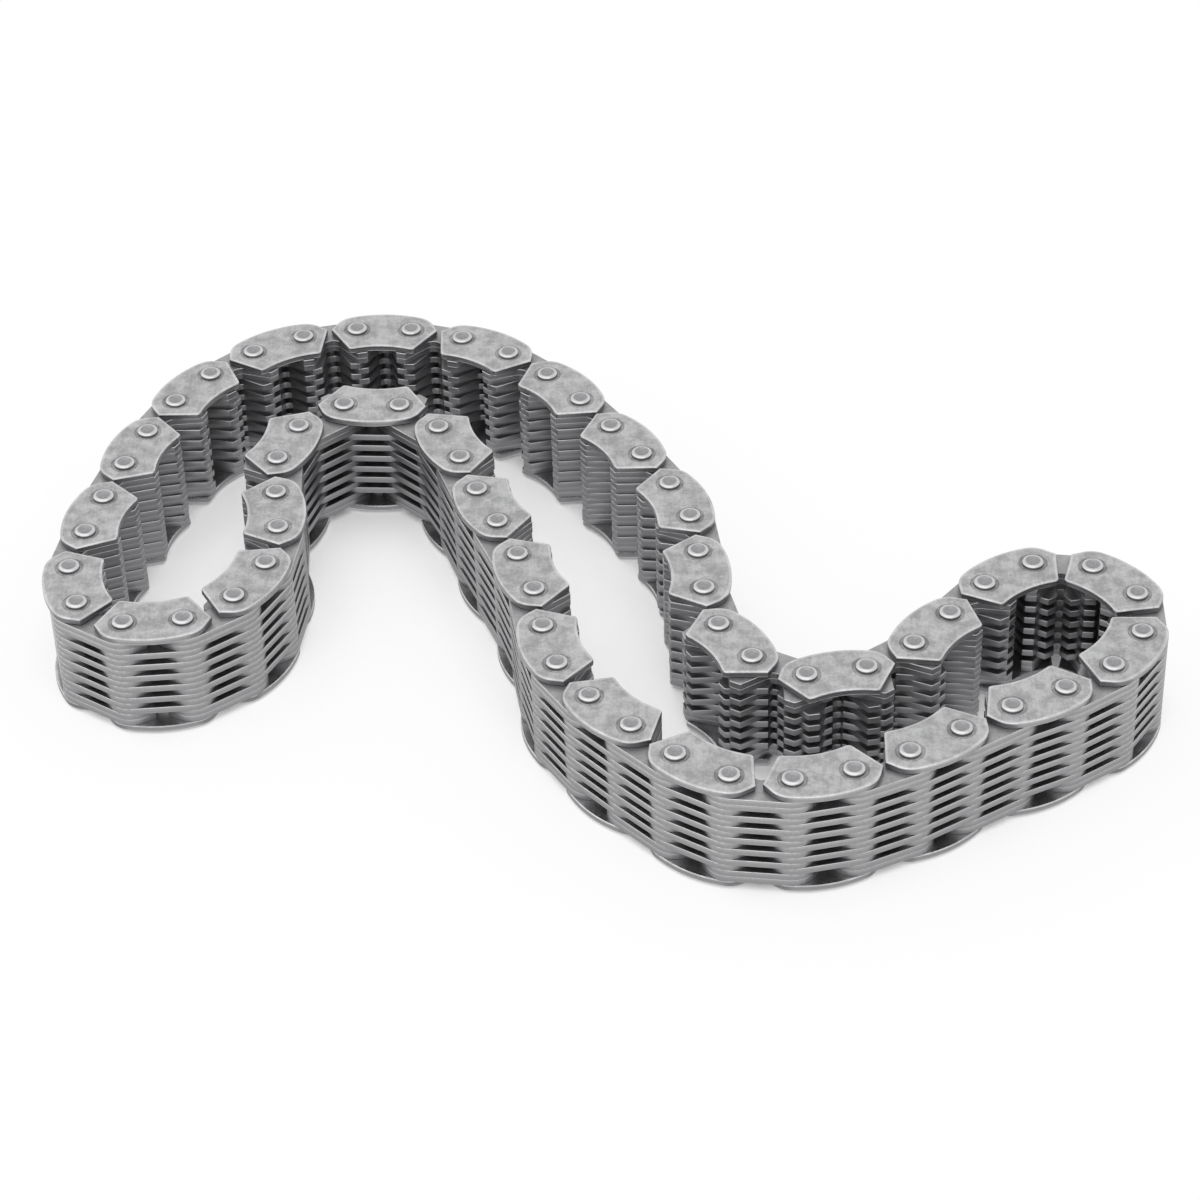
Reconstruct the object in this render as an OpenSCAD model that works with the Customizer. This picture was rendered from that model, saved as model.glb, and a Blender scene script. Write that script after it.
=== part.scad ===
// Transfer case chain: a silent, or inverted-tooth, drive chain.
// It is a closed loop that lies on its side in a loose S, so its pins stand up.
// Guide rows and inner rows take turns round the loop. A guide row is a pair of
// guide plates riveted to two pins, with toothed plates between them. An inner
// row is a stack of toothed plates only, and turns on the pins of the guide rows
// at its two ends. The teeth point into the loop.
// Millimetres, +X along the longest side, +Z up, origin at the middle of the base.

/* [Chain] */
// Distance from one pin to the next
pitch = 12.7; // [11.5:0.1:14]
// Turn of the whole lay on the table, in degrees
lay_turn = -69; // [-90:1:90]

/* [Plates] */
// Thickness of a toothed plate
plate_t = 1.45; // [1.2:0.05:2]
// Thickness of a guide plate
guide_t = 1.45; // [1.2:0.05:2]
// Free play between neighbouring plates on a pin
side_gap = 0.05; // [0.03:0.01:0.1]
// Toothed plates in a guide row
guide_row_plates = 6; // [3:1:8]
// Gap between the tips of plates that follow each other in one layer
tip_gap = 0.5; // [0.4:0.05:1]
// Reach of a plate's tip past its round end
tip_lead = 0.6; // [0.3:0.05:0.9]
// Rise of a guide plate's back over a straight line between its ends
crown = 1; // [0.4:0.1:1.5]
// Depth of the shallow hollow in a guide plate's inner edge
hollow = 1.1; // [0.5:0.1:1.5]
// Flat left at each inner corner of a guide plate
shoulder_w = 0.9; // [0.8:0.1:1.6]

/* [Teeth] */
// Reach of the teeth from the pin line
tooth_depth = 7.6; // [6.8:0.1:8.2]
// Bend at one pin where the teeth of neighbouring plates would meet, in degrees
bend_stop = 47; // [46:0.5:50]
// Width of a tooth at its tip
toe_w = 2.4; // [1.8:0.1:2.8]
// Radius of the corner at the tip of a tooth
toe_r = 0.7; // [0.4:0.1:0.8]
// Height of the bottom of the notch over the pin line
crotch_y = 0.9; // [0.5:0.1:1.5]
// Radius of the bottom of the notch
crotch_r = 2.2; // [1.6:0.1:2.6]

/* [Pins] */
// Diameter of a pin
pin_d = 4; // [3.4:0.1:4.6]
// Height of a riveted head
head_h = 0.7; // [0.4:0.1:1.2]
// Spread of a riveted head past the pin
head_lip = 0.35; // [0.2:0.05:0.6]
// Chamfer round a riveted head
head_chamfer = 0.25; // [0.1:0.05:0.3]
// Clearance round a pin in its own guide row, where it does not turn
seat_gap = 0.02; // [0.01:0.005:0.03]
// Radial clearance of a pin in an inner row, which turns on it
running_gap = 0.05; // [0.03:0.01:0.1]
// Radial clearance of the pin where the loop of joints is open
open_gap = 0.15; // [0.1:0.01:0.25]

/* [Hidden] */
guide_rows = 31;
pins = 2 * guide_rows;

// Bend of the chain at chosen pins, as [pin, degrees], plus towards the teeth.
// The bend at each pin between them is interpolated.
LAY = [
    [0, 3], [3, -8], [5, 18], [7, 2], [9, 25], [11, 13], [14, -6],
    [16, 22], [18, 43], [20, 39], [22, -1], [25, -39], [27, -19], [30, 13],
    [33, 0], [36, 13], [41, 16], [45, 3], [47, 3], [49, 43], [51, 32],
    [54, 14], [56, -21], [58, -43], [59, -40], [61, -5],
];

// Guide rows that are one fixed section with the inner row between them
base_rows = 2;
// Inner row whose first hole has the open clearance
open_row = 17;

// Rounds of the closing correction
close_rounds = 5;

PLATE_COLOR = [0.70, 0.70, 0.71];
GUIDE_COLOR = [0.74, 0.74, 0.75];
PIN_COLOR = [0.80, 0.80, 0.81];

tip_x = (pitch - tip_gap) / 2;
end_r = tip_x - tip_lead;
toe_reach = (pitch / 2 - tooth_depth * sin(bend_stop)) / cos(bend_stop);
crown_r = (pow(pitch / 2, 2) + pow(crown, 2)) / (2 * crown) + end_r;
crown_y = crown_r - end_r - crown;
mouth_half = pitch / 2 + toe_reach - toe_w;
crotch_cy = crotch_y + crotch_r;

pin_r = pin_d / 2;
head_r = pin_r + head_lip;
layer_h = plate_t + side_gap;
layers = 2 * guide_row_plates + 3;
guide_z = head_h + seat_gap;
first_z = guide_z + guide_t + side_gap;
top_guide_z = first_z + layers * layer_h;
chain_h = top_guide_z + guide_t + seat_gap + head_h;
over = 1;
$fn = 64;

// Layers that each kind of row fills, counted from 0 above the lower guide plate
GUIDE_LAYERS = [for (k = [0 : guide_row_plates - 1]) 2 * k + 2];
INNER_LAYERS = concat(
    [0, 1],
    [for (k = [1 : guide_row_plates - 1]) 2 * k + 1],
    [layers - 2, layers - 1]
);

// The lay, worked out in pitches

// Direction of each row, when the first row points along X
function headings(bends) = [
    for (i = 0, turn = 0; i < pins; i = i + 1, turn = turn + (i < pins ? bends[i] : 0))
        turn
];

// Places of the pins for these directions, and after them the end of the last row
function pin_places(turns) = [
    for (
        i = 0, at = [0, 0];
        i <= pins;
        at = at + (i < pins ? [cos(turns[i]), sin(turns[i])] : [0, 0]), i = i + 1
    ) at
];

// Amounts of three columns that add up to a goal
function solve3(c, goal) =
    [goal * cross(c[1], c[2]), goal * cross(c[2], c[0]), goal * cross(c[0], c[1])]
    / (c[0] * cross(c[1], c[2]));

// One round of the smallest change to the bends that closes the loop
function closed_once(bends) =
    let (
        at = pin_places(headings(bends)),
        end = at[pins],
        sway = [for (i = [0 : pins - 1]) [1, at[i][0], at[i][1]]],
        pull = [
            for (i = [0 : pins - 1])
                i == 0 ? [1, 0, 0] : [1, at[i][1] - end[1], end[0] - at[i][0]]
        ],
        columns = [for (k = [0 : 2]) [for (s = sway) s[k]] * pull],
        turned = bends * [for (b = bends) 1],
        goal = [(360 - turned) * PI / 180, -end[0], -end[1]],
        amounts = solve3(columns, goal)
    )
    [for (i = [0 : pins - 1]) bends[i] + sway[i] * amounts * 180 / PI];

function closed(bends, rounds) = rounds == 0 ? bends : closed(closed_once(bends), rounds - 1);

lay_round = concat(LAY, [[LAY[0][0] + pins, LAY[0][1]]]);
bends = closed([for (i = [0 : pins - 1]) lookup(i, lay_round)], close_rounds);
turns = [for (turn = headings(bends)) turn + lay_turn];
loose = pitch * pin_places(turns);

// Farthest reach of one row along a direction, from its pins and its crowned back
function row_reach(i, way) =
    let (
        back = turns[i] - 90,
        off = abs(((back - way + 540) % 360) - 180),
        u = [cos(way), sin(way)],
        middle = (loose[i] + loose[i + 1]) / 2 - crown_y * [cos(back), sin(back)],
        ends = max(loose[i] * u, loose[i + 1] * u) + end_r
    )
    off < atan(pitch / 2 / crown_y) ? middle * u + crown_r : ends;

function reach(way) = max([for (i = [0 : 2 : pins - 1]) row_reach(i, way)]);

middle = [reach(0) - reach(180), reach(90) - reach(270)] / 2;
places = [for (at = loose) at - middle];

function two_digits(n) = n < 10 ? str("0", n) : str(n);
function guide_name(row) = str("guide_row_", two_digits(row));
function inner_name(row) = str("inner_row_", two_digits(row));

// Flat shapes of one row, with its pins at [0, 0] and [pitch, 0] and teeth towards +Y

// Copies a shape to both ends of a row
module both_ends() {
    children();
    translate([pitch, 0]) mirror([1, 0]) children();
}

// One end of a plate up to its middle: the round end, the tip on the pin line and
// the flank from there to the rounded corner of the tooth
module plate_end() {
    flank = [tip_x - toe_reach, tooth_depth] / norm([tip_x - toe_reach, tooth_depth]);
    corner_run = toe_r / tan((180 - atan2(flank[1], flank[0])) / 2);
    corner = [-toe_reach, tooth_depth];
    touch = acos(end_r / tip_x);
    intersection() {
        circle(r = end_r);
        polygon([[-tip_x, 0], [-tip_x, -end_r], [pitch / 2, -end_r], [pitch / 2, 0]]);
    }
    translate([0, -end_r]) square([pitch / 2, end_r]);
    polygon([
        [0, 0],
        -end_r * [cos(touch), sin(touch)],
        [-tip_x, 0],
        corner - corner_run * flank,
        corner + [corner_run, 0],
        [pitch / 2, tooth_depth],
        [pitch / 2, 0],
    ]);
    translate(corner + [corner_run, -toe_r]) circle(r = toe_r);
}

// The notch between the two teeth of a plate
module notch() {
    rise = tooth_depth - crotch_cy;
    reach_out = sqrt(pow(mouth_half, 2) + pow(rise, 2));
    lean = atan(mouth_half / rise) - asin(crotch_r / reach_out);
    tangent = [crotch_r * cos(lean), crotch_cy - crotch_r * sin(lean)];
    spread = over * tan(lean);
    translate([pitch / 2, 0]) {
        translate([0, crotch_cy]) circle(r = crotch_r);
        polygon([
            [-tangent[0], tangent[1]],
            [tangent[0], tangent[1]],
            [mouth_half + spread, tooth_depth + over],
            [-mouth_half - spread, tooth_depth + over],
        ]);
    }
}

module toothed_outline() {
    difference() {
        both_ends() plate_end();
        notch();
    }
}

module guide_outline() {
    drop = end_r + crown + over;
    spread = drop * (pitch / 2) / crown_y;
    hollow_half = pitch / 2 + toe_reach - shoulder_w;
    hollow_r = (pow(hollow_half, 2) + pow(hollow, 2)) / (2 * hollow);
    difference() {
        union() {
            both_ends() plate_end();
            intersection() {
                translate([pitch / 2, crown_y]) circle(r = crown_r);
                polygon([[0, 0], [pitch, 0], [pitch + spread, -drop], [-spread, -drop]]);
            }
        }
        translate([pitch / 2, tooth_depth - hollow + hollow_r]) circle(r = hollow_r);
    }
}

// A flat plate of a given thickness with a hole for each pin
module drilled(thickness, hole_a, hole_b) {
    difference() {
        linear_extrude(thickness) children();
        translate([0, 0, -over]) cylinder(r = hole_a, h = thickness + 2 * over);
        translate([pitch, 0, -over]) cylinder(r = hole_b, h = thickness + 2 * over);
    }
}

module guide_plate() {
    hole = pin_r + seat_gap;
    color(GUIDE_COLOR) drilled(guide_t, hole, hole) guide_outline();
}

module toothed_plate(hole_a, hole_b) {
    color(PLATE_COLOR) drilled(plate_t, hole_a, hole_b) toothed_outline();
}

// A pin with a riveted head at each end
module rivet_pin() {
    color(PIN_COLOR) rotate_extrude() polygon([
        [0, 0],
        [head_r - head_chamfer, 0],
        [head_r, head_chamfer],
        [head_r, head_h],
        [pin_r, head_h],
        [pin_r, chain_h - head_h],
        [head_r, chain_h - head_h],
        [head_r, chain_h - head_chamfer],
        [head_r - head_chamfer, chain_h],
        [0, chain_h],
    ]);
}

module guide_row() {
    hole = pin_r + seat_gap;
    for (z = [guide_z, top_guide_z]) translate([0, 0, z]) guide_plate();
    for (layer = GUIDE_LAYERS)
        translate([0, 0, first_z + layer * layer_h]) toothed_plate(hole, hole);
    for (x = [0, pitch]) translate([x, 0, 0]) rivet_pin();
}

module inner_row(first_gap = running_gap) {
    for (layer = INNER_LAYERS)
        translate([0, 0, first_z + layer * layer_h])
            toothed_plate(pin_r + first_gap, pin_r + running_gap);
}

// Puts a row between its two pins on the lay, counting the pins from 0
module on_lay(pin) {
    translate([places[pin][0], places[pin][1], 0]) rotate(turns[pin]) children();
}

module guide_row_in_place(row) {
    on_lay(2 * row - 2) guide_row();
}

module inner_row_in_place(row) {
    first_gap = row == open_row ? open_gap : running_gap;
    on_lay(2 * row - 1) inner_row(first_gap);
}

// Two guide rows and the inner row between them, held as one
module base_section() {
    for (row = [1 : base_rows]) guide_row_in_place(row);
    for (row = [1 : base_rows - 1]) inner_row_in_place(row);
}

base_section();

for (row = [base_rows + 1 : guide_rows])
    guide_row_in_place(row);

for (row = [base_rows : guide_rows])
    inner_row_in_place(row);
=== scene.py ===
# %% [markdown]
# Transfer case chain
#
# This is a silent chain, also called an inverted-tooth chain: rows of toothed steel
# plates on pins, with a smooth guide plate on each side. It lies on its side on a white
# table, in a loose S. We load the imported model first, because every row of the chain
# has its place there, and we model each plate and pin around it in detail.

# %% Load the frame
import math
import random

import bmesh
import bpy
from mathutils import Matrix, Vector


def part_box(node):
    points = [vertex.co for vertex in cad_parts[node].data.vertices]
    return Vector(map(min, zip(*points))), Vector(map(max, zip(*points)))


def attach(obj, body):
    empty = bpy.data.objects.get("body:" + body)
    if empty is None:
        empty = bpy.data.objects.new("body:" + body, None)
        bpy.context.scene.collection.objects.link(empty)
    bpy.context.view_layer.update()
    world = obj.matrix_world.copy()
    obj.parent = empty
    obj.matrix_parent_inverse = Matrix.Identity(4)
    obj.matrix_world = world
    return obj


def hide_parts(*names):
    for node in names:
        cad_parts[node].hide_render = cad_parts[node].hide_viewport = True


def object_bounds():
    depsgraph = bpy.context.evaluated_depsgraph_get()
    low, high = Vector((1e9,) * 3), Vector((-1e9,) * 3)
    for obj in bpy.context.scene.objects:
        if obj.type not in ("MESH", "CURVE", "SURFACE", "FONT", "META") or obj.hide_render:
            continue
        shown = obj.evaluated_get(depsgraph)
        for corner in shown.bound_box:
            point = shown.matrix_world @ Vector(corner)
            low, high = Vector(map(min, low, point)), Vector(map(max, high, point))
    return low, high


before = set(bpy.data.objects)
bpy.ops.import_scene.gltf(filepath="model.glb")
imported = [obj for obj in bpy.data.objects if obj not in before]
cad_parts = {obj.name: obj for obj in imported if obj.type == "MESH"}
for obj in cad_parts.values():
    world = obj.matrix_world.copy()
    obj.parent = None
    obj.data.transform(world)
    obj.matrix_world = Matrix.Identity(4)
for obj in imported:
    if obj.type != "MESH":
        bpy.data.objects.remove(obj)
cad_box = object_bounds()
MM = 0.001
# Heights that differ by less than this count as the same
LEVEL_GAP = 0.01 * MM
chain_h = cad_box[1].z
print("rows in the frame:", len(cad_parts), "height in mm:", round(chain_h / MM, 2))

# %% [markdown]
# Camera
#
# The photograph looks down at the chain at nearly 39 degrees with a long lens, and it
# leans by nearly two degrees. A camera can be aimed with a constraint, but here its three axes
# are worked out from those angles, so that the lean is exact.

# %% Camera
LENS_MM = 108.87
SENSOR_MM = 36
AZIMUTH = math.radians(0.132)
ELEVATION = math.radians(38.716)
LEAN = math.radians(1.862)
AIM = Vector((0.46, -23.34, 26.6)) * MM
DISTANCE = 769.2 * MM

forward = Vector((
    -math.sin(AZIMUTH) * math.cos(ELEVATION),
    math.cos(AZIMUTH) * math.cos(ELEVATION),
    -math.sin(ELEVATION),
))
level = Vector((math.cos(AZIMUTH), math.sin(AZIMUTH), 0))
above = level.cross(forward)
right = level * math.cos(LEAN) - above * math.sin(LEAN)
up = level * math.sin(LEAN) + above * math.cos(LEAN)

camera_data = bpy.data.cameras.new("camera")
camera_data.lens = LENS_MM
camera_data.sensor_width = SENSOR_MM
camera_data.clip_start = 0.01
camera = bpy.data.objects.new("camera", camera_data)
camera.matrix_world = Matrix.Translation(AIM - forward * DISTANCE) @ Matrix(
    (right, up, -forward)).transposed().to_4x4()
bpy.context.scene.collection.objects.link(camera)
bpy.context.scene.camera = camera
bpy.context.scene.view_settings.view_transform = "Standard"
print("camera stands at", [round(c, 3) for c in camera.location])

# %% [markdown]
# Colours and nodes
#
# Steel colours are noted as sRGB hex values, as a paint program shows them, and a
# shader works in linear light, so one function turns the first into the second. Another
# small function adds a node, sets its sockets and links it, which keeps each finish
# short to read.

# %% Helpers for materials
def linear(hex_colour):
    """The linear RGBA of an sRGB hex colour."""
    parts = [int(hex_colour[i:i + 2], 16) / 255 for i in (1, 3, 5)]
    return [c / 12.92 if c <= 0.04045 else ((c + 0.055) / 1.055) ** 2.4 for c in parts] + [1]


def add_node(tree, kind, settings=None, links=None):
    """Adds a node. A setting is a socket or a property, and a link feeds a socket."""
    node = tree.nodes.new(kind)
    for name, value in (settings or {}).items():
        if isinstance(name, int) or name in node.inputs:
            node.inputs[name].default_value = value
        else:
            setattr(node, name, value)
    for name, source in (links or {}).items():
        tree.links.new(source, node.inputs[name])
    return node


def new_material(name):
    """An empty node material, its tree and its output node."""
    material = bpy.data.materials.new(name)
    material.use_nodes = True
    material.node_tree.nodes.clear()
    output = add_node(material.node_tree, "ShaderNodeOutputMaterial")
    return material, material.node_tree, output


def per_mm(size_mm):
    """The scale of a pattern whose features are this many millimetres wide."""
    return 1 / (size_mm * MM)


# %% [markdown]
# Table and light tent
#
# The chain is shown in a light tent: white from all sides, and no hard shadow. Stronger
# lamps would make the table white too, but they would also wash out the steel. So much
# of the table's white is a glow that only the camera and mirror-like surfaces see: the
# steel mirrors a white room, as it does in the tent, and no extra light falls on it. A
# glow would hide the chain's soft shadow, so for the camera it fades where the Ambient
# Occlusion node finds the table shut in, as it is deep inside the loops. That fading
# paints shade into the table there, on top of its real shadow.

# %% Table and backdrop
TABLE_M = 6
TABLE_GLOW = 0.85
TABLE_COLOUR = "#F4F4F4"
# How many rays each point sends out to see how open it is there
SKY_RAYS = 4
# How far the node looks for the chain, and the openness without glow and with all of it
TABLE_REACH = 50 * MM
TABLE_SHUT = 0.12
TABLE_OPEN = 0.5

bpy.ops.object.select_all(action="DESELECT")
bpy.ops.mesh.primitive_plane_add(size=TABLE_M, location=(0, 0, 0))
table = bpy.context.object
table.name = "table"
material, tree, output = new_material("matt white table")
table.data.materials.append(material)
paths = add_node(tree, "ShaderNodeLightPath")
sky = add_node(tree, "ShaderNodeAmbientOcclusion",
               {"Distance": TABLE_REACH, "samples": SKY_RAYS})
# Painted shade: the glow that the camera sees fades where the chain shuts the table in
openness = add_node(tree, "ShaderNodeMapRange", {"From Min": TABLE_SHUT, "From Max": TABLE_OPEN},
                    {"Value": sky.outputs["AO"]})
direct = add_node(tree, "ShaderNodeMath", {"operation": "MULTIPLY"},
                  {0: paths.outputs["Is Camera Ray"], 1: openness.outputs[0]})
seen = add_node(tree, "ShaderNodeMath", {"operation": "MAXIMUM"},
                {0: direct.outputs[0], 1: paths.outputs["Is Glossy Ray"]})
seen_all = add_node(tree, "ShaderNodeMath", {"operation": "MAXIMUM"},
                    {0: seen.outputs[0], 1: paths.outputs["Is Transmission Ray"]})
glow_share = add_node(tree, "ShaderNodeMath", {"operation": "MULTIPLY", 1: TABLE_GLOW},
                      {0: seen_all.outputs[0]})
matt = add_node(tree, "ShaderNodeBsdfDiffuse", {"Color": linear(TABLE_COLOUR)})
glow = add_node(tree, "ShaderNodeEmission", {"Color": (1, 1, 1, 1), "Strength": 1})
mixed = add_node(tree, "ShaderNodeMixShader", {},
                 {0: glow_share.outputs[0], 1: matt.outputs[0], 2: glow.outputs[0]})
tree.links.new(mixed.outputs[0], output.inputs["Surface"])
print("table is", TABLE_M, "m wide")

# %% [markdown]
# White room
#
# A light tent is white cloth on all sides. A room of white walls could be built for it,
# but a plain white world looks the same from inside. The camera and the steel, which is
# all mirror, see it in full white. The matt table gets a little less light from it,
# because the lamps add to that.

# %% World
ROOM_SEEN = 1.0
ROOM_LIGHT = 0.95

world = bpy.data.worlds.new("light tent")
world.use_nodes = True
bpy.context.scene.world = world
tree = world.node_tree
tree.nodes.clear()
paths = add_node(tree, "ShaderNodeLightPath")
seen = add_node(tree, "ShaderNodeMath", {"operation": "MAXIMUM"},
                {0: paths.outputs["Is Camera Ray"], 1: paths.outputs["Is Glossy Ray"]})
strength = add_node(tree, "ShaderNodeMapRange", {"To Min": ROOM_LIGHT, "To Max": ROOM_SEEN},
                    {"Value": seen.outputs[0]})
room = add_node(tree, "ShaderNodeBackground", {"Color": (1, 1, 1, 1)},
                {"Strength": strength.outputs[0]})
add_node(tree, "ShaderNodeOutputWorld", {}, {"Surface": room.outputs[0]})
print("the room lights the table at", ROOM_LIGHT)

# %% [markdown]
# Two soft lamps
#
# Light that is the same from all sides shows little form. One lamp over the front
# brightens the tops and puts a thin line of light on the rolled rims, and one on the
# left makes the walls that face it the lighter ones. Both are wide and weak: a small
# strong lamp would do this too, but it would blow out the tops and throw hard shadows.

# %% Lamps
# Each lamp is [name, place in metres, width in metres, watts].
LAMPS = [
    ["lamp over the front", (-0.10, -0.30, 0.85), 1.2, 2.2],
    ["lamp on the left", (-0.90, 0.15, 0.60), 1.2, 1.2],
]
for name, place, width, watts in LAMPS:
    lamp_data = bpy.data.lights.new(name, "AREA")
    lamp_data.size = width
    lamp_data.energy = watts
    lamp = bpy.data.objects.new(name, lamp_data)
    lamp.location = place
    lamp.rotation_euler = (-Vector(place)).to_track_quat("-Z", "Y").to_euler()
    bpy.context.scene.collection.objects.link(lamp)
print("lamps:", len(LAMPS))

# %% [markdown]
# Where each row lies
#
# A guide row is riveted, so its two pins tell its place and its direction. The upper
# ends of the pins are the highest points of each packed row, and the middle of each
# cluster of them is a pin. Walking round the loop with the teeth on the left gives
# every row a first pin and a last pin. An inner row lies between the last pin of one
# guide row and the first pin of the next.

# %% Find the pins
# Points of one pin's end lie closer together than this
PIN_REACH = 6 * MM


def pin_places(node):
    """The middle of each pin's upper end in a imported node."""
    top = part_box(node)[1].z
    clusters = []
    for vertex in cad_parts[node].data.vertices:
        if vertex.co.z < top - LEVEL_GAP:
            continue
        near = [c for c in clusters if (c[0] - vertex.co.xy).length < PIN_REACH]
        if near:
            near[0].append(vertex.co.xy)
        else:
            clusters.append([vertex.co.xy])
    return [
        Vector([(min(p[k] for p in c) + max(p[k] for p in c)) / 2 for k in (0, 1)])
        for c in clusters
    ]


guide_nodes = sorted(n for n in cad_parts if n.startswith("guide_row"))
next_pins = pin_places(guide_nodes[0])
# Of the pins in the fixed rows, the one farthest from the next row comes first
chain_pins = sorted(
    pin_places("base_section"),
    key=lambda p: -min((p - q).length for q in next_pins),
)
# In each further row, the pin nearer to the last one comes first
for node in guide_nodes:
    last = chain_pins[-1]
    chain_pins += sorted(pin_places(node), key=lambda p: (p - last).length)
pitch = (chain_pins[1] - chain_pins[0]).length
print("pins:", len(chain_pins), "pitch in mm:", round(pitch / MM, 3))


# %% Turn two pins into a place for a row
def row_place(first, last):
    """The matrix that puts a row modelled round the origin between two pins."""
    along = (last - first).normalized()
    middle = (first + last) / 2
    turn = Matrix.Rotation(math.atan2(along.y, along.x), 4, "Z")
    return Matrix.Translation((middle.x, middle.y, 0)) @ turn


base_rows = (len(chain_pins) - 2 * len(guide_nodes)) // 2
guide_rows = base_rows + len(guide_nodes)
guide_places = [
    row_place(chain_pins[2 * row], chain_pins[2 * row + 1]) for row in range(guide_rows)
]
inner_places = [
    row_place(chain_pins[2 * row + 1], chain_pins[(2 * row + 2) % len(chain_pins)])
    for row in range(guide_rows)
]
print("guide rows:", len(guide_places), "inner rows:", len(inner_places))

# %% [markdown]
# Drawing a plate's outline
#
# Plates like these are stamped from strip. An outline could be typed in as a long list
# of points, but it is really a few lines and arcs, so we draw it as a draughtsman does:
# put the pen down, pull lines with Extrude, and swing arcs with Spin. Only the right
# half is drawn, because the plate is the same on both sides, and Symmetrize makes the
# other half. Each plate is modelled round the origin, with its pins to the left and
# right of it and its teeth towards +Y.

# %% Pen and half outline
def pen_down(x, y):
    """Starts a mesh with a single vertex: a plane merged at its middle and moved."""
    bpy.ops.object.select_all(action="DESELECT")
    bpy.ops.mesh.primitive_plane_add(size=MM, location=(0, 0, 0))
    bpy.ops.object.mode_set(mode="EDIT")
    bpy.ops.mesh.select_mode(type="VERT")
    bpy.ops.mesh.merge(type="CENTER")
    bpy.ops.transform.translate(value=(x, y, 0))
    return Vector((x, y))


def line_to(pen, x, y):
    """Pulls a straight line from the pen to a point."""
    step = Vector((x, y)) - pen
    bpy.ops.mesh.extrude_vertices_move(TRANSFORM_OT_translate={"value": (*step, 0)})
    return Vector((x, y))


def arc_to(pen, centre, degrees, steps):
    """Swings the pen round a centre, counter-clockwise where degrees is positive."""
    angle = math.radians(degrees)
    # Spin counts its angle the other way
    bpy.ops.mesh.spin(steps=steps, angle=-angle, center=(*centre, 0), axis=(0, 0, 1))
    return Vector(centre) + Matrix.Rotation(angle, 2) @ (pen - Vector(centre))


def degrees_at(point, centre):
    """The direction of a point from a centre, in degrees."""
    away = Vector(point) - Vector(centre)
    return math.degrees(math.atan2(away.y, away.x))


# %% Sizes of the plates
TIP_GAP = 0.5 * MM
TIP_LEAD = 0.6 * MM
HALF = pitch / 2
TIP_X = HALF - TIP_GAP / 2
END_R = TIP_X - TIP_LEAD
TOOTH_DEPTH = 7.6 * MM
# With this reach, neighbouring teeth would meet where the chain bends by 47 degrees
TOE_REACH = 1.161 * MM
TOE_R = 0.7 * MM
TOE_W = 2.4 * MM
CROTCH_Y = 0.9 * MM
CROTCH_R = 2.2 * MM
CROWN = 1.0 * MM
HOLLOW = 1.1 * MM
SHOULDER_W = 0.9 * MM
PLATE_T = 1.45 * MM
LAYER_H = 1.5 * MM
HEAD_H = 0.7 * MM
SEAT_GAP = 0.02 * MM
PIN_R = 2.0 * MM
HEAD_R = 2.35 * MM
LOW_GUIDE_Z = HEAD_H + SEAT_GAP
FIRST_LAYER_Z = LOW_GUIDE_Z + LAYER_H
HIGH_GUIDE_Z = chain_h - HEAD_H - SEAT_GAP - PLATE_T
LAYERS = round((HIGH_GUIDE_Z - FIRST_LAYER_Z) / LAYER_H)
print("layers between the guide plates:", LAYERS)


# %% Round end, tip and shoulder
MERGE_GAP = 0.001 * MM


def draw_end(pen, steps):
    """From the back of the pin round the end, out to the tip and up to the flat of the tooth."""
    touch = math.degrees(math.acos(END_R / TIP_X))
    pen = arc_to(pen, (HALF, 0), -touch - degrees_at(pen, (HALF, 0)), steps)
    pen = line_to(pen, HALF + TIP_X, 0)
    slope = math.atan2(TOOTH_DEPTH, TIP_X - TOE_REACH)
    run = TOE_R / math.tan((math.pi - slope) / 2)
    corner = Vector((HALF + TOE_REACH, TOOTH_DEPTH))
    pen = line_to(pen, corner.x + run * math.cos(slope), corner.y - run * math.sin(slope))
    return arc_to(pen, (corner.x - run, TOOTH_DEPTH - TOE_R), math.degrees(slope), steps // 2)


def mirror_and_fill():
    """Completes a half outline to both sides and fills it with one face."""
    bpy.ops.mesh.select_all(action="SELECT")
    bpy.ops.mesh.symmetrize(direction="POSITIVE_X")
    bpy.ops.mesh.select_all(action="SELECT")
    bpy.ops.mesh.remove_doubles(threshold=MERGE_GAP)
    bpy.ops.mesh.edge_face_add()


# %% [markdown]
# From outline to plate
#
# Extrude gives the filled outline its thickness. A stamped plate is never sharp where
# the punch went in: the strip rolls over a little there, and tumbling rounds it more. A
# narrow bevel along that rim catches the light as a thin bright line, which is what the
# eye reads as cut steel. A bevel modifier would round every edge, so we select the rims
# by their height and use the Bevel operator. The holes are cut with a Boolean, as a
# reamer would.

# %% Thickness, rolled rim and holes
# How steeply a face's normal rises on a wall at most, on a flat at least, and on a face
# that is level
WALL_LIFT = 0.1
FLAT_LIFT = 0.9
LEVEL_LIFT = 0.99
# A cutting tool is this many plates long, so that it sticks out on both sides
TOOL_PLATES = 3


def select_edges(wanted):
    """Selects the edges that a test picks, in edit mode, and nothing else."""
    bpy.ops.mesh.select_mode(type="EDGE")
    bpy.ops.mesh.select_all(action="DESELECT")
    mesh = bmesh.from_edit_mesh(bpy.context.object.data)
    for edge in mesh.edges:
        edge.select_set(wanted(edge))
    bmesh.update_edit_mesh(bpy.context.object.data)


def is_rim(edge, height):
    """True for an edge between the flat face at a height and a wall."""
    flats = sorted(abs(face.normal.z) for face in edge.link_faces)
    level_edge = all(abs(v.co.z - height) < LEVEL_GAP for v in edge.verts)
    return level_edge and len(flats) == 2 and flats[0] < WALL_LIFT and flats[1] > FLAT_LIFT


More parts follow.
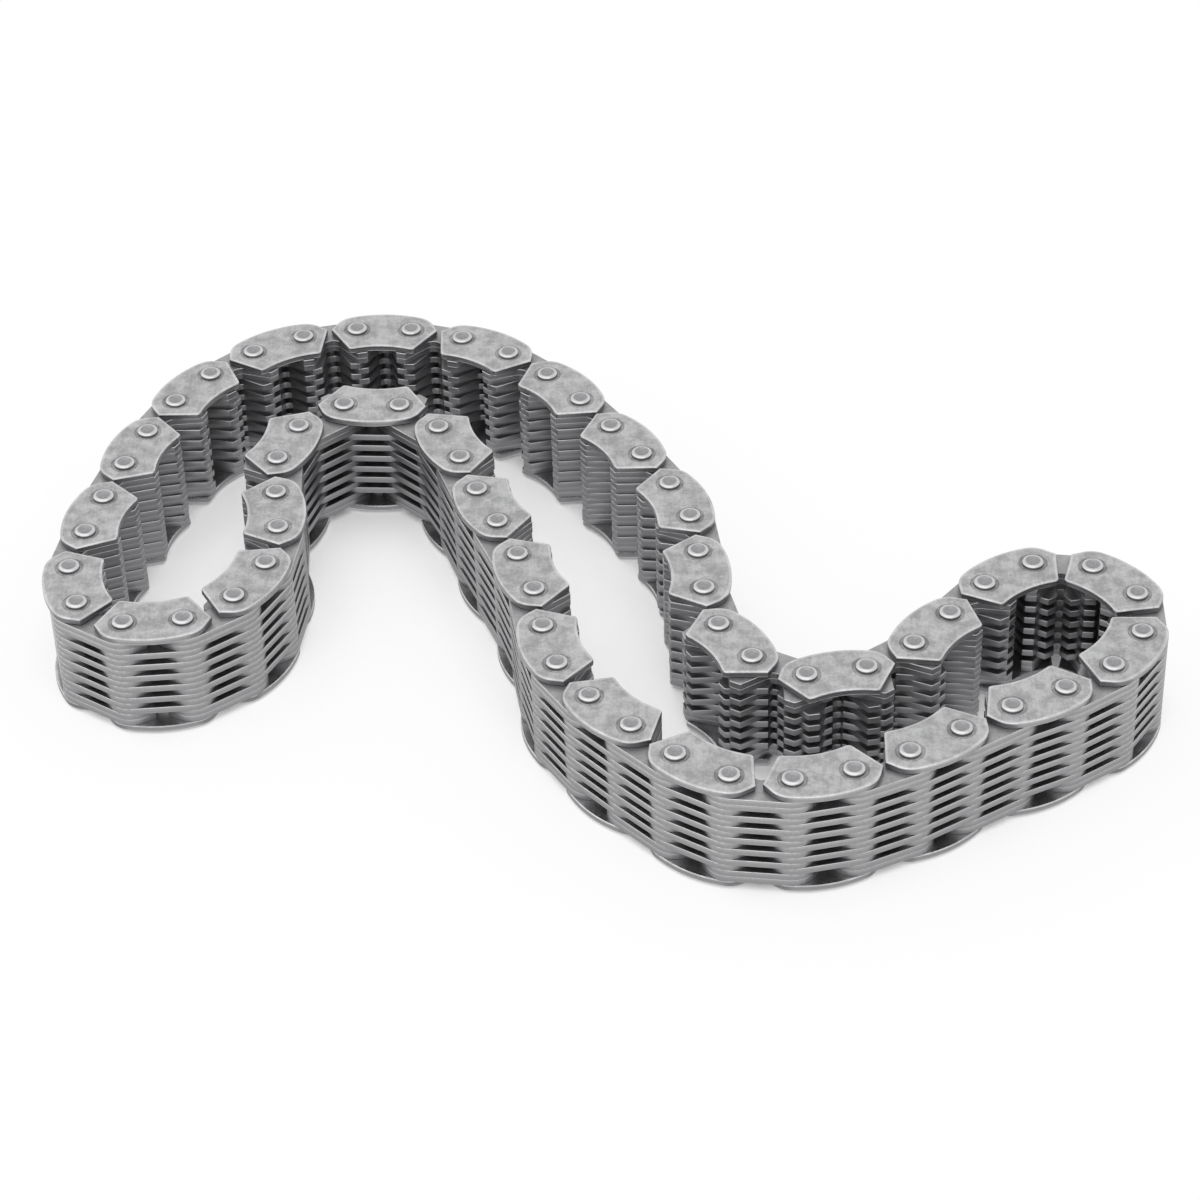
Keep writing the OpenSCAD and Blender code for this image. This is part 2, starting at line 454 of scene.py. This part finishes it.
def thicken(rims, roll, segments):
    """Extrudes the filled outline to a plate and rolls the rims at the given heights."""
    bpy.ops.mesh.extrude_region_move(TRANSFORM_OT_translate={"value": (0, 0, PLATE_T)})
    bpy.ops.mesh.select_all(action="SELECT")
    bpy.ops.mesh.normals_make_consistent(inside=False)
    select_edges(lambda edge: any(is_rim(edge, height) for height in rims))
    bpy.ops.mesh.bevel(offset=roll, segments=segments, affect="EDGES")
    bpy.ops.object.mode_set(mode="OBJECT")


def cut(plate, tool):
    """Takes a tool out of a plate with a Boolean and throws the tool away."""
    modifier = plate.modifiers.new("cut", "BOOLEAN")
    modifier.operation = "DIFFERENCE"
    modifier.object = tool
    bpy.ops.object.select_all(action="DESELECT")
    plate.select_set(True)
    bpy.context.view_layer.objects.active = plate
    bpy.ops.object.modifier_apply(modifier=modifier.name)
    bpy.data.objects.remove(tool)


def ream(plate, radius, sides):
    """Cuts a hole for each of the two pins."""
    for x in (-HALF, HALF):
        bpy.ops.object.select_all(action="DESELECT")
        bpy.ops.mesh.primitive_cylinder_add(
            radius=radius, depth=TOOL_PLATES * PLATE_T, vertices=sides,
            location=(x, 0, PLATE_T / 2))
        cut(plate, bpy.context.object)


# %% [markdown]
# Toothed plate
#
# The working plate. Two teeth point into the loop, with a notch between them that a
# sprocket tooth fills. There are 465 of them, so this one is kept to a few dozen faces:
# short arcs, one rolled rim and plain holes. Only the side where the punch went in is
# rolled, and the side where it came out stays sharp.

# %% Toothed plate
TOOTHED_ROLL = 0.1 * MM
TOOTHED_END_STEPS = 4
CROTCH_STEPS = 3
TOOTHED_HOLE_SIDES = 12


def draw_toothed_plate():
    """Draws the outline from the middle of the back round to the notch, and makes the plate."""
    pen = pen_down(0, -END_R)
    pen = line_to(pen, HALF, -END_R)
    pen = draw_end(pen, TOOTHED_END_STEPS)
    mouth_half = HALF + TOE_REACH - TOE_W
    crotch = (0, CROTCH_Y + CROTCH_R)
    rise = TOOTH_DEPTH - crotch[1]
    lean = math.atan(mouth_half / rise) - math.asin(CROTCH_R / math.hypot(mouth_half, rise))
    pen = line_to(pen, mouth_half, TOOTH_DEPTH)
    pen = line_to(pen, CROTCH_R * math.cos(lean), crotch[1] - CROTCH_R * math.sin(lean))
    arc_to(pen, crotch, math.degrees(lean) - 90, CROTCH_STEPS)
    mirror_and_fill()
    thicken([PLATE_T], TOOTHED_ROLL, 1)
    plate = bpy.context.object
    ream(plate, PIN_R + SEAT_GAP, TOOTHED_HOLE_SIDES)
    return plate


toothed_plate = draw_toothed_plate()
toothed_plate.name = "toothed_plate"
print("toothed plate:", len(toothed_plate.data.polygons), "faces")

# %% [markdown]
# Guide plate
#
# The smooth plate on each side of a guide row keeps the chain on its sprockets. Its
# back is crowned and its inner edge has a shallow hollow in place of teeth. It shows
# more than any other piece, so both its rims are rolled. Where the rivet heads were
# formed, the tool has left a shallow ring round each pin. A ring like that could be a
# bump map, but it is wide enough to catch the light by itself, so a torus cuts it into
# the mesh. Tumbling burnishes a narrow border all round each face, and an inset gives
# that border faces of its own.

# %% Guide plate
GUIDE_ROLL = 0.22 * MM
GUIDE_END_STEPS = 8
CROWN_STEPS = 5
HOLLOW_STEPS = 6
GUIDE_HOLE_SIDES = 24
RING_R = 2.95 * MM
RING_WIRE = 0.26 * MM
RING_DEPTH = 0.09 * MM
RING_SIDES = 8
BORDER_W = 0.35 * MM
# A flat face with more corners than this is a whole side of the plate
FEW_CORNERS = 8


def inset_flats(width):
    """Gives both flat faces of a new plate a border, in edit mode."""
    bpy.ops.mesh.select_mode(type="FACE")
    bpy.ops.mesh.select_all(action="DESELECT")
    mesh = bmesh.from_edit_mesh(bpy.context.object.data)
    for face in mesh.faces:
        face.select_set(abs(face.normal.z) > LEVEL_LIFT and len(face.verts) > FEW_CORNERS)
    bmesh.update_edit_mesh(bpy.context.object.data)
    bpy.ops.mesh.inset(thickness=width, depth=0)


def draw_guide_plate():
    """Draws the outline from the crown round to the hollow, and makes the plate."""
    crown_r = (HALF ** 2 + CROWN ** 2) / (2 * CROWN) + END_R
    crown_at = Vector((0, crown_r - END_R - CROWN))
    pen = pen_down(0, -END_R - CROWN)
    pen = arc_to(pen, crown_at, degrees_at((HALF, 0), crown_at) + 90, CROWN_STEPS)
    pen = draw_end(pen, GUIDE_END_STEPS)
    hollow_half = HALF + TOE_REACH - SHOULDER_W
    hollow_r = (hollow_half ** 2 + HOLLOW ** 2) / (2 * HOLLOW)
    hollow_at = Vector((0, TOOTH_DEPTH - HOLLOW + hollow_r))
    pen = line_to(pen, hollow_half, TOOTH_DEPTH)
    arc_to(pen, hollow_at, -90 - degrees_at(pen, hollow_at), HOLLOW_STEPS)
    mirror_and_fill()
    thicken([0, PLATE_T], GUIDE_ROLL, 2)
    plate = bpy.context.object
    bpy.ops.object.mode_set(mode="EDIT")
    inset_flats(BORDER_W)
    bpy.ops.object.mode_set(mode="OBJECT")
    ream(plate, PIN_R + SEAT_GAP, GUIDE_HOLE_SIDES)
    for x in (-HALF, HALF):
        bpy.ops.object.select_all(action="DESELECT")
        bpy.ops.mesh.primitive_torus_add(
            major_radius=RING_R, minor_radius=RING_WIRE, major_segments=GUIDE_HOLE_SIDES,
            minor_segments=RING_SIDES, location=(x, 0, PLATE_T + RING_WIRE - RING_DEPTH))
        cut(plate, bpy.context.object)
    return plate


guide_plate = draw_guide_plate()
guide_plate.name = "guide_plate"
print("guide plate:", len(guide_plate.data.polygons), "faces")

# %% [markdown]
# Pin
#
# A pin is turned, so its half profile is drawn once and spun round its axis. A cylinder
# with a bevel would be quicker, but both ends are riveted over: the rim is pushed
# outwards and rounded, and the riveting tool leaves a shallow dish in the middle. The
# dish stays dull, and the rounded rim catches the light of the front lamp.

# %% Pin
# Half profile of a riveted head, as radius and depth below the end of the pin, in mm
HEAD_PROFILE = [
    (0.0, 0.32), (0.65, 0.3), (1.1, 0.2), (1.38, 0.06), (1.62, 0.0),
    (1.9, 0.05), (2.15, 0.18), (2.31, 0.36), (2.35, 0.52),
]
PIN_STEPS = 28
PIN_MERGE_GAP = 0.002 * MM


def turn_pin():
    """Draws the half profile from the lower end to the upper one and spins it."""
    head = [(radius * MM, depth * MM) for radius, depth in HEAD_PROFILE]
    seat = [(HEAD_R, HEAD_H), (PIN_R, HEAD_H)]
    lower = head + seat
    upper = [(radius, chain_h - depth) for radius, depth in reversed(lower)]
    pen_down(0, 0)
    bpy.ops.transform.translate(value=(0, 0, lower[0][1]))
    for (r0, z0), (r1, z1) in zip(lower + upper, (lower + upper)[1:]):
        bpy.ops.mesh.extrude_vertices_move(
            TRANSFORM_OT_translate={"value": (r1 - r0, 0, z1 - z0)})
    bpy.ops.mesh.select_all(action="SELECT")
    bpy.ops.mesh.spin(steps=PIN_STEPS, angle=2 * math.pi, center=(0, 0, 0), axis=(0, 0, 1))
    bpy.ops.mesh.select_all(action="SELECT")
    bpy.ops.mesh.remove_doubles(threshold=PIN_MERGE_GAP)
    bpy.ops.mesh.normals_make_consistent(inside=False)
    bpy.ops.object.mode_set(mode="OBJECT")
    return bpy.context.object


pin = turn_pin()
pin.name = "pin"
print("pin:", len(pin.data.polygons), "faces")

# %% [markdown]
# Steel finishes
#
# All of it is carbon steel, and the light in the tent is even, so the finishes differ
# only in how the surface was made. Shade is painted into their colours as well: a
# darker tone in the nooks of the chain, on the inner walls, on the flanks of the teeth
# and round the rivets, and a darker one still where two plates nearly touch. We could
# paint this by hand, but it follows one rule: it is darkest where a place is most shut
# in. The Ambient Occlusion node measures that, with a long reach for the painted shade
# in the nooks and a short one for the painted shade in the gaps.

# %% Painted shade in nooks and gaps
# Colours of the painted shade: a lighter one in nooks and towards the teeth, a darker one in gaps
PAINTED_SHADE_COLOUR = "#909092"
DEEP_SHADE_COLOUR = "#868688"
# How far each looks for other steel, and the openness where it starts and is full
NOOK_REACH = 40 * MM
NOOK = (0.7, 0.4)
GAP_REACH = 3.5 * MM
GAP = (0.78, 0.42)
# Across a plate, in mm from the line of its pins: painted shade grows from the back towards the teeth
TEETH_SHADE_FROM = -END_R / MM + 1.0
TEETH_SHADE_FULL = -END_R / MM + 3.2
# Along a guide plate, in mm from its middle: painted shade on its round ends
END_SHADE_FROM = HALF / MM + 0.8
END_SHADE_FULL = HALF / MM + 2.6


def map_share(tree, value, start, full):
    """0 where a value is at its start and 1 where it is at its full."""
    return add_node(tree, "ShaderNodeMapRange", {"From Min": start, "From Max": full},
                    {"Value": value}).outputs[0]


def sheltered(tree, reach, open_and_shut):
    """How shut in a point is, from 0 in the open to 1 where little sky is left near it."""
    sky = add_node(tree, "ShaderNodeAmbientOcclusion", {"Distance": reach, "samples": SKY_RAYS})
    return map_share(tree, sky.outputs["AO"], *open_and_shut)


def larger(tree, share, other):
    """The larger one of two shares."""
    return add_node(tree, "ShaderNodeMath", {"operation": "MAXIMUM"}, {0: share, 1: other}).outputs[0]


def covered(tree, colour, share, painted_shade):
    """A colour with another one over a share of it."""
    return add_node(tree, "ShaderNodeMix", {"data_type": "RGBA", 7: linear(painted_shade)},
                    {0: share, 6: colour}).outputs[2]


def with_painted_shade(tree, colour, shade_towards_teeth=False, shade_at_ends=False):
    """A colour with painted shade in nooks and towards the teeth, and darker painted shade in gaps
    and at the ends.
    """
    place = add_node(tree, "ShaderNodeAttribute", {"attribute_name": "plate_place"})
    parts = add_node(tree, "ShaderNodeSeparateXYZ", {}, {0: place.outputs["Vector"]})
    # Painted shade where the chain shuts a place in, and on walls towards the teeth
    painted_shade = sheltered(tree, NOOK_REACH, NOOK)
    if shade_towards_teeth:
        painted_shade = larger(tree, painted_shade, map_share(tree, parts.outputs["Y"], TEETH_SHADE_FROM, TEETH_SHADE_FULL))
    # Darker painted shade in the gaps between plates, and on a guide plate's round ends
    deep_shade = sheltered(tree, GAP_REACH, GAP)
    if shade_at_ends:
        side = add_node(tree, "ShaderNodeMath", {"operation": "ABSOLUTE"}, {0: parts.outputs["X"]})
        deep_shade = larger(tree, deep_shade, map_share(tree, side.outputs[0], END_SHADE_FROM, END_SHADE_FULL))
    return covered(tree, covered(tree, colour, painted_shade, PAINTED_SHADE_COLOUR), deep_shade, DEEP_SHADE_COLOUR)


# %% [markdown]
# Tumbled faces
#
# The flat faces are rolled strip. After stamping, the plates are hardened and tumbled
# with stone chips, which leaves them matt, with clouds of tone, a grain of tiny pits and
# a few scuffs. An image of worn steel could be wrapped round them, but it would look the
# same on every plate. Three noise patterns, each with its size in millimetres, are added
# up instead, and their sum picks a tone between a pale and a dark steel. The rims are
# burnished by the same tumbling, so they take the same function with paler tones and
# less roughness.

# %% Tumbled faces
PIT_MM = 0.7
CLOUD_MM = 3.0
SCUFF_MM = 0.4
# Weights of the scuffs and the clouds beside the pits, and the sums for dark and pale
SCUFF_SHARE = 0.35
CLOUD_SHARE = 1.5
DARK_SUM = 1.15
PALE_SUM = 1.7
# Direction of the scuffs in radians, and how much longer than wide they are
SCUFF_TURN = 0.7
SCUFF_STRETCH = (1, 0.08, 1)
# Roughness rises in the pits by this much and falls between them
ROUGH_SWING = 0.08
PIT_LOW = 0.3
PIT_HIGH = 0.7


def tumbled_steel(name, pale, dark, roughness, with_shade=False):
    """Rolled strip after tumbling, with clouds of tone, pits and scuffs, and painted shade if asked.

    Real pits are about 0.1 mm wide. They are drawn at 0.7 mm, because finer ones don't
    show at this distance.
    """
    material, tree, output = new_material(name)
    place = add_node(tree, "ShaderNodeTexCoord").outputs["Object"]
    clouds = add_node(tree, "ShaderNodeTexNoise", {"Scale": per_mm(CLOUD_MM), "Detail": 2},
                      {"Vector": place})
    pits = add_node(tree, "ShaderNodeTexNoise",
                    {"Scale": per_mm(PIT_MM), "Detail": 3, "Roughness": 0.65},
                    {"Vector": place})
    along = add_node(tree, "ShaderNodeMapping",
                     {"Rotation": (0, 0, SCUFF_TURN), "Scale": SCUFF_STRETCH}, {"Vector": place})
    scuffs = add_node(tree, "ShaderNodeTexNoise", {"Scale": per_mm(SCUFF_MM), "Detail": 1},
                      {"Vector": along.outputs[0]})
    tone = add_node(tree, "ShaderNodeAttribute", {"attribute_name": "plate_tone"})
    marks = add_node(tree, "ShaderNodeMath", {"operation": "MULTIPLY_ADD", 1: SCUFF_SHARE},
                     {0: scuffs.outputs["Fac"], 2: pits.outputs["Fac"]})
    total = add_node(tree, "ShaderNodeMath", {"operation": "MULTIPLY_ADD", 1: CLOUD_SHARE},
                     {0: clouds.outputs["Fac"], 2: marks.outputs[0]})
    toned = add_node(tree, "ShaderNodeMath", {"operation": "ADD"},
                     {0: total.outputs[0], 1: tone.outputs["Fac"]})
    share = map_share(tree, toned.outputs[0], DARK_SUM, PALE_SUM)
    colour = add_node(tree, "ShaderNodeMix",
                      {"data_type": "RGBA", 6: linear(dark), 7: linear(pale)},
                      {0: share}).outputs[2]
    if with_shade:
        # Painted shade in nooks and gaps
        colour = with_painted_shade(tree, colour)
    rough = add_node(tree, "ShaderNodeMapRange",
                     {"From Min": PIT_LOW, "From Max": PIT_HIGH,
                      "To Min": roughness + ROUGH_SWING, "To Max": roughness - ROUGH_SWING},
                     {"Value": pits.outputs["Fac"]})
    bump = add_node(tree, "ShaderNodeBump", {"Strength": 0.35, "Distance": 0.03 * MM},
                    {"Height": marks.outputs[0]})
    steel = add_node(tree, "ShaderNodeBsdfPrincipled", {"Metallic": 1},
                     {"Base Color": colour, "Roughness": rough.outputs[0],
                      "Normal": bump.outputs[0]})
    tree.links.new(steel.outputs[0], output.inputs["Surface"])
    return material


guide_face_steel = tumbled_steel("tumbled strip steel", "#C1C1C2", "#A0A0A1", 0.4)
link_face_steel = tumbled_steel("hardened strip steel", "#B0B0B1", "#9A9A9B", 0.45, with_shade=True)
rim_steel = tumbled_steel("burnished rolled rim", "#D2D2D3", "#BABABB", 0.3)
edge_steel = tumbled_steel("burnished plate edge", "#D2D2D3", "#B8B8B9", 0.35, with_shade=True)
# Painted shade round each rivet head: a darker steel on the faces close round a pin
rivet_shade_steel = tumbled_steel("painted shade round a rivet", "#A2A2A3", "#7E7E7F", 0.4)
print("tumbled steels:", ", ".join(steel.name for steel in (
    guide_face_steel, link_face_steel, rim_steel, edge_steel, rivet_shade_steel)))

# %% [markdown]
# Sheared walls
#
# A punched wall has two bands: a smooth one where the punch sheared the strip, and a
# torn, rougher one below it where the strip broke. Both have fine lines in the punch's
# direction. The height in the plate tells the bands apart, and the lines make their
# border ragged. That height is stored in the mesh, because the shader can't tell one
# plate of a stack from the next.

# %% Sheared walls
SHEAR_LINE_MM = 0.3
# How much longer than wide the lines are, and how far they fray the border of the bands
LINE_STRETCH = (1, 1, 0.1)
FRAY_SHARE = 0.3
# Frayed height, as a share of the thickness, where the torn band ends and all is smooth
TORN_TO = 0.65
SMOOTH_FROM = 0.8
# Weights of the lines and of the smooth band in the tone
LINE_SHARE = 0.6
BAND_SHARE = 0.5
TORN_ROUGHNESS = 0.55
SMOOTH_ROUGHNESS = 0.42


def sheared_steel(name, smooth, torn, shade_at_ends=False):
    """A punched wall: a smooth sheared band above a rough torn one, with upright lines.

    The lines of a real punch are a few hundredths of a millimetre wide. They are drawn
    ten times as wide, so that they show.
    """
    material, tree, output = new_material(name)
    place = add_node(tree, "ShaderNodeTexCoord").outputs["Object"]
    upright = add_node(tree, "ShaderNodeMapping", {"Scale": LINE_STRETCH}, {"Vector": place})
    lines = add_node(tree, "ShaderNodeTexNoise", {"Scale": per_mm(SHEAR_LINE_MM), "Detail": 2},
                     {"Vector": upright.outputs[0]})
    grain = add_node(tree, "ShaderNodeTexNoise", {"Scale": per_mm(SHEAR_LINE_MM), "Detail": 3},
                     {"Vector": place})
    height = add_node(tree, "ShaderNodeAttribute", {"attribute_name": "plate_height"})
    ragged = add_node(tree, "ShaderNodeMath", {"operation": "MULTIPLY_ADD", 1: FRAY_SHARE},
                      {0: lines.outputs["Fac"], 2: height.outputs["Fac"]})
    band = map_share(tree, ragged.outputs[0], TORN_TO, SMOOTH_FROM)
    tone = add_node(tree, "ShaderNodeAttribute", {"attribute_name": "plate_tone"})
    worn = add_node(tree, "ShaderNodeMath", {"operation": "MULTIPLY_ADD", 1: LINE_SHARE},
                    {0: lines.outputs["Fac"], 2: tone.outputs["Fac"]})
    blended = add_node(tree, "ShaderNodeMath", {"operation": "MULTIPLY_ADD", 1: BAND_SHARE},
                       {0: band, 2: worn.outputs[0]})
    colour = add_node(tree, "ShaderNodeMix",
                      {"data_type": "RGBA", 6: linear(torn), 7: linear(smooth)},
                      {0: blended.outputs[0]}).outputs[2]
    # Painted shade: darker towards the teeth, in nooks and gaps, and on round ends where asked
    colour = with_painted_shade(tree, colour, shade_towards_teeth=True, shade_at_ends=shade_at_ends)
    rough = add_node(tree, "ShaderNodeMapRange",
                     {"To Min": TORN_ROUGHNESS, "To Max": SMOOTH_ROUGHNESS}, {"Value": band})
    depth = add_node(tree, "ShaderNodeMath", {"operation": "ADD"},
                     {0: lines.outputs["Fac"], 1: grain.outputs["Fac"]})
    bump = add_node(tree, "ShaderNodeBump", {"Strength": 0.4, "Distance": 0.03 * MM},
                    {"Height": depth.outputs[0]})
    steel = add_node(tree, "ShaderNodeBsdfPrincipled", {"Metallic": 1},
                     {"Base Color": colour, "Roughness": rough.outputs[0],
                      "Normal": bump.outputs[0]})
    tree.links.new(steel.outputs[0], output.inputs["Surface"])
    return material


link_wall_steel = sheared_steel("sheared link edge", "#B3B3B4", "#9E9E9F")
guide_wall_steel = sheared_steel("sheared guide edge", "#B3B3B4", "#9E9E9F", shade_at_ends=True)
print("walls:", link_wall_steel.name, guide_wall_steel.name)

# %% [markdown]
# Spun pin ends
#
# The pins are ground bar. The riveting tool turned on their ends and left a dull dish
# with rings in it, and it polished the rounded rim. The rim's paler colour is partly a
# painted highlight and the dish's darker one partly painted shade, and painted shade
# darkens the corner at the foot of each head. All three depend on the distance from the
# pin's axis, so that distance is stored in the mesh, and one sine of it draws the rings.

# %% Spun pin ends
# The rings of a real tool are about 0.1 mm apart. They are drawn wider, so that they show
SPIN_MARK_MM = 0.32
PIN_GRAIN_MM = 0.4
# Distances from the axis: where the dish ends, where the rim is full, and the painted shade at the
# foot
DISH_MM = 1.45
RIM_MM = DISH_MM + 0.4
FOOT_MM = 2.2
FOOT_FULL_MM = FOOT_MM + 0.12
# Weights of the rings beside the grain and of the pattern beside the rim
SPIN_SHARE = 0.18
PATTERN_SHARE = 0.35
PATTERN_LOW = 0.25
PATTERN_HIGH = 0.75
DISH_ROUGHNESS = 0.34
RIM_ROUGHNESS = 0.18


def riveted_steel(name, pale, dark):
    """Ground bar whose ends were spun over: a dull dish with rings, and a bright rim, partly painted
    highlight.
    """
    material, tree, output = new_material(name)
    place = add_node(tree, "ShaderNodeTexCoord").outputs["Object"]
    radius = add_node(tree, "ShaderNodeAttribute", {"attribute_name": "pin_radius"})
    turns = add_node(tree, "ShaderNodeMath", {"operation": "MULTIPLY", 1: math.tau / SPIN_MARK_MM},
                     {0: radius.outputs["Fac"]})
    rings = add_node(tree, "ShaderNodeMath", {"operation": "SINE"}, {0: turns.outputs[0]})
    grain = add_node(tree, "ShaderNodeTexNoise", {"Scale": per_mm(PIN_GRAIN_MM), "Detail": 3},
                     {"Vector": place})
    both = add_node(tree, "ShaderNodeMath", {"operation": "MULTIPLY_ADD", 1: SPIN_SHARE},
                    {0: rings.outputs[0], 2: grain.outputs["Fac"]})
    pattern = map_share(tree, both.outputs[0], PATTERN_LOW, PATTERN_HIGH)
    # Paler towards the rim, partly polish and partly painted highlight; darker in the dish, partly
    # painted shade
    rim = map_share(tree, radius.outputs["Fac"], DISH_MM, RIM_MM)
    bright = add_node(tree, "ShaderNodeMath", {"operation": "MULTIPLY_ADD", 1: PATTERN_SHARE},
                      {0: pattern, 2: rim})
    clean = add_node(tree, "ShaderNodeMix",
                     {"data_type": "RGBA", 6: linear(dark), 7: linear(pale)},
                     {0: bright.outputs[0]})
    # Painted shade at the foot of the head
    foot_shade = map_share(tree, radius.outputs["Fac"], FOOT_MM, FOOT_FULL_MM)
    colour = covered(tree, clean.outputs[2], foot_shade, DEEP_SHADE_COLOUR)
    rough = add_node(tree, "ShaderNodeMapRange",
                     {"To Min": DISH_ROUGHNESS, "To Max": RIM_ROUGHNESS}, {"Value": rim})
    bump = add_node(tree, "ShaderNodeBump", {"Strength": 0.3, "Distance": 0.02 * MM},
                    {"Height": both.outputs[0]})
    steel = add_node(tree, "ShaderNodeBsdfPrincipled", {"Metallic": 1},
                     {"Base Color": colour, "Roughness": rough.outputs[0],
                      "Normal": bump.outputs[0]})
    tree.links.new(steel.outputs[0], output.inputs["Surface"])
    return material


pin_steel = riveted_steel("spun pin end", "#CCCCCD", "#8A8A8C")
print("pins:", pin_steel.name)

# %% [markdown]
# Which face has which finish
#
# A face's normal tells how it was made: flat faces look up or down, walls look sideways
# and rims look between the two. A flat face that is no wider than the burnished border
# belongs to it, and one close round a pin gets a darker steel, painted shade round its
# rivet. The finish is set once, on the plate that is copied. Three values are stored in
# the mesh for the shaders: how high a point is in its plate, where it is on the plate in
# millimetres, and how far it is from a pin's axis.

# %% Give the faces their finishes
SMOOTH_DEGREES = 20
RIVET_SHADE_R = RING_R + RING_WIRE
FACE_LIFT = 0.98
FACE, BORDER, WALL, RIVET_SHADE = range(4)


def finish_of(face, corners):
    """Which finish a face of a plate has, by its normal, its place and its width."""
    around = sum((a - b).length for a, b in zip(corners, corners[1:] + corners[:1]))
    # For a long thin face this is its width
    width = 2 * face.area / around
    from_pin = max(math.hypot(abs(c.x) - HALF, c.y) for c in corners)
    lift = abs(face.normal.z)
    if lift < WALL_LIFT:
        return WALL
    # Painted shade round the rivet
    if from_pin < RIVET_SHADE_R:
        return RIVET_SHADE
    return BORDER if lift < FACE_LIFT or width < BORDER_W else FACE


def finish_plate(plate, face_steel, border_steel, wall_steel):
    """Gives a plate its four finishes and stores each point's place for the shaders."""
    for steel in (face_steel, border_steel, wall_steel, rivet_shade_steel):
        plate.data.materials.append(steel)
    for face in plate.data.polygons:
        corners = [plate.data.vertices[v].co for v in face.vertices]
        face.material_index = finish_of(face, corners)
    heights = plate.data.attributes.new("plate_height", "FLOAT", "POINT")
    heights.data.foreach_set("value", [v.co.z / PLATE_T for v in plate.data.vertices])
    places = plate.data.attributes.new("plate_place", "FLOAT_VECTOR", "POINT")
    places.data.foreach_set("vector", [c / MM for v in plate.data.vertices for c in v.co])


def smooth_arcs(piece):
    """Smooth shading across arcs and flat shading across corners."""
    bpy.ops.object.select_all(action="DESELECT")
    piece.select_set(True)
    bpy.context.view_layer.objects.active = piece
    bpy.ops.object.shade_smooth_by_angle(angle=math.radians(SMOOTH_DEGREES))


finish_plate(toothed_plate, link_face_steel, edge_steel, link_wall_steel)
finish_plate(guide_plate, guide_face_steel, rim_steel, guide_wall_steel)
print("faces of a guide plate in each finish:", [
    sum(face.material_index == k for face in guide_plate.data.polygons) for k in range(4)])
pin.data.materials.append(pin_steel)
radii = pin.data.attributes.new("pin_radius", "FLOAT", "POINT")
radii.data.foreach_set("value", [v.co.xy.length / MM for v in pin.data.vertices])
for part in (toothed_plate, guide_plate, pin):
    smooth_arcs(part)
print("finished:", toothed_plate.name, guide_plate.name, pin.name)

# %% [markdown]
# Stacks
#
# A row is a stack, and the stacks are made once too. Between its guide plates a guide
# row has six toothed plates with a gap between each two. An inner row fills those gaps
# and has two more plates at each end of the stack. Every plate keeps its number, so
# that each one can later get its own shade.

# %% Build one stack of each kind
INNER_EXTRA = 2
GUIDE_LAYERS = list(range(INNER_EXTRA, LAYERS - INNER_EXTRA, 2))
INNER_LAYERS = [n for n in range(LAYERS) if n not in GUIDE_LAYERS]


def stack_of(part, name, matrices):
    """Joins copies of a part into one mesh, each copy with its own number."""
    copies = []
    for number, matrix in enumerate(matrices):
        mesh = part.data.copy()
        mesh.transform(matrix)
        numbers = mesh.attributes.new("plate_number", "INT", "POINT")
        numbers.data.foreach_set("value", [number] * len(mesh.vertices))
        copies.append(bpy.data.objects.new(name, mesh))
        bpy.context.scene.collection.objects.link(copies[-1])
    bpy.ops.object.select_all(action="DESELECT")
    for copy in copies:
        copy.select_set(True)
    bpy.context.view_layer.objects.active = copies[0]
    bpy.ops.object.join()
    return copies[0]


def lifted(z):
    """A matrix that lifts a part."""
    return Matrix.Translation((0, 0, z))


def layer_places(layers):
    """A matrix for each numbered layer, counted from 0 above the lower guide plate."""
    return [lifted(FIRST_LAYER_Z + number * LAYER_H) for number in layers]


face_down = lifted(LOW_GUIDE_Z + PLATE_T) @ Matrix.Rotation(math.pi, 4, "Y")
guide_pair = stack_of(guide_plate, "guide_pair", [face_down, lifted(HIGH_GUIDE_Z)])
guide_stack = stack_of(toothed_plate, "guide_stack", layer_places(GUIDE_LAYERS))
inner_stack = stack_of(toothed_plate, "inner_stack", layer_places(INNER_LAYERS))
pin_pair = stack_of(
    pin, "pin_pair", [Matrix.Translation((x, 0, 0)) for x in (-HALF, HALF)])
print("layers of a guide row:", GUIDE_LAYERS)
print("layers of an inner row:", INNER_LAYERS)

# %% [markdown]
# Rows
#
# Each row gets its own copy of each stack, moved to its place in the mesh. Plates come
# from one batch, yet no two have quite the same shade after hardening and tumbling, so
# each plate gets a small tone of its own from a seeded random number. The copies ride on
# the row's body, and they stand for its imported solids, which have the body's name.

# %% Copy the stacks to the rows
TONE_SPREAD = 0.16
TONE_SEED = 31
random.seed(TONE_SEED)


def put(stack, name, place, body):
    """Copies a stack to a row's place and gives each of its plates a tone."""
    mesh = stack.data.copy()
    mesh.transform(place)
    numbers = mesh.attributes["plate_number"].data
    plates = max(n.value for n in numbers) + 1
    tones = [random.uniform(-TONE_SPREAD, TONE_SPREAD) for _ in range(plates)]
    tone = mesh.attributes.new("plate_tone", "FLOAT", "POINT")
    tone.data.foreach_set("value", [tones[n.value] for n in numbers])
    piece = bpy.data.objects.new(name, mesh)
    bpy.context.scene.collection.objects.link(piece)
    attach(piece, body)
    return piece


for row in range(guide_rows):
    number = f"{row + 1:02d}"
    body = "base_section" if row < base_rows else f"guide_row_{number}"
    place = guide_places[row]
    plates = put(guide_pair, f"guide_plates_{number}", place, body)
    toothed = put(guide_stack, f"guide_row_teeth_{number}", place, body)
    pins = put(pin_pair, f"pins_{number}", place, body)
    for piece in (plates, toothed, pins):
        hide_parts(body)

for row in range(guide_rows):
    number = f"{row + 1:02d}"
    body = "base_section" if row < base_rows - 1 else f"inner_row_{number}"
    piece = put(inner_stack, f"inner_row_teeth_{number}", inner_places[row], body)
    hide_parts(body)

# The pieces that were copied are no longer needed
for pattern in (toothed_plate, guide_plate, pin, guide_pair, guide_stack, inner_stack, pin_pair):
    bpy.data.objects.remove(pattern)
print("rows placed:", 2 * guide_rows)
